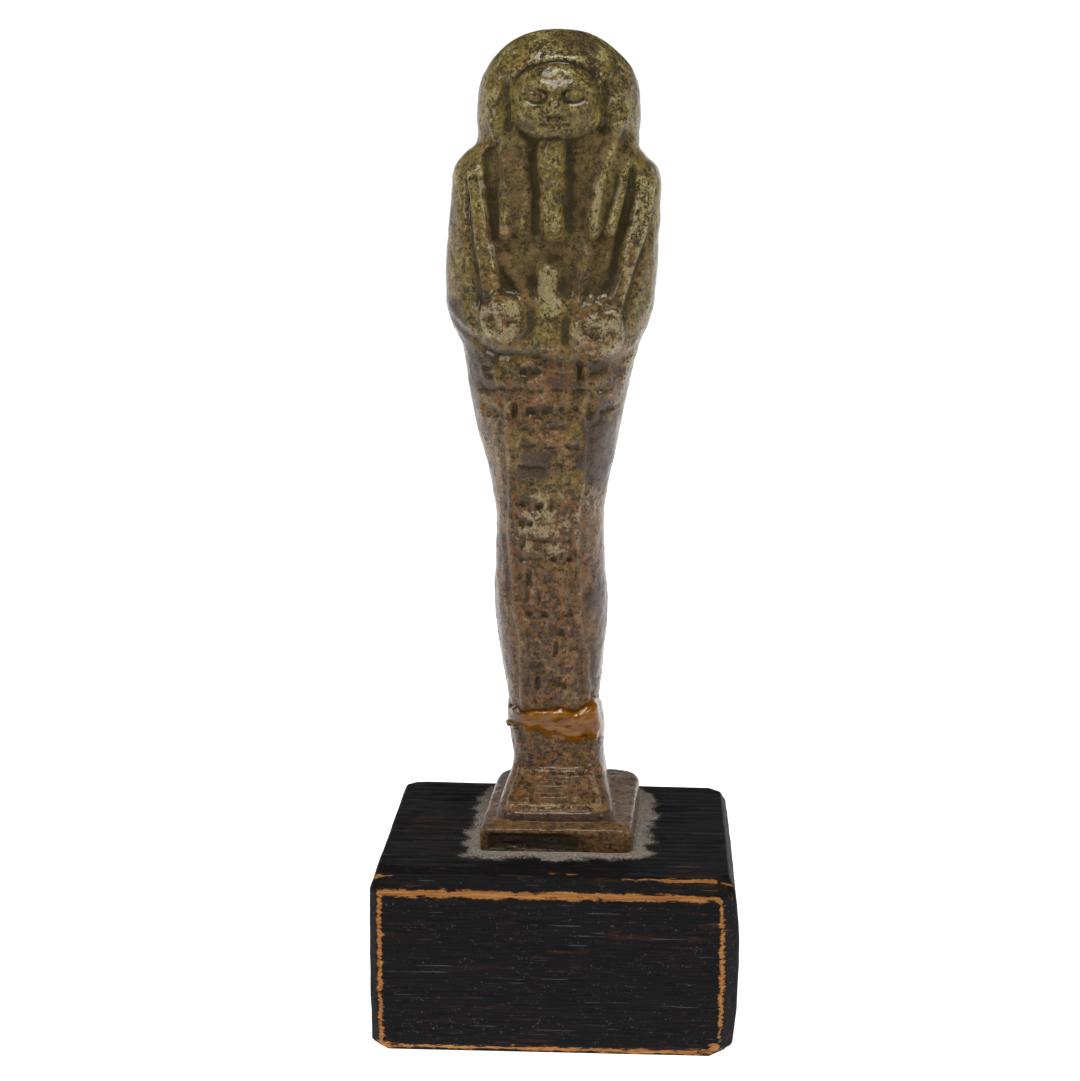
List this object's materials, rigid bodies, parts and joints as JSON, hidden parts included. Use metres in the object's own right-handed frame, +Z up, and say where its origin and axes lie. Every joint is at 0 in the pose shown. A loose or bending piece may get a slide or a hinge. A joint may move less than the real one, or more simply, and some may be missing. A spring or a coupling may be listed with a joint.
{
  "type": "ushabti figurine",
  "caption": "Moulded faience ushabti in a plain wig with a plaited beard and crossed hands, mended with resin at the ankles, standing on a painted wooden block.",
  "frame": {"origin": "centre of the bounding box on the underside of the wooden block, where the whole rests", "axes": "+Z is up along the figurine, -Y is the way the figurine faces, +X is to the viewer's right"},
  "size_m": [0.062, 0.0542, 0.1681],
  "materials": {
    "faience": "satin",
    "resin": "gloss",
    "painted_wood": "satin"
  },
  "bodies": {
    "root": {"figure": "faience", "feet": "faience", "repair_resin": "resin", "wooden_block": "painted_wood"}
  },
  "joints": []
}
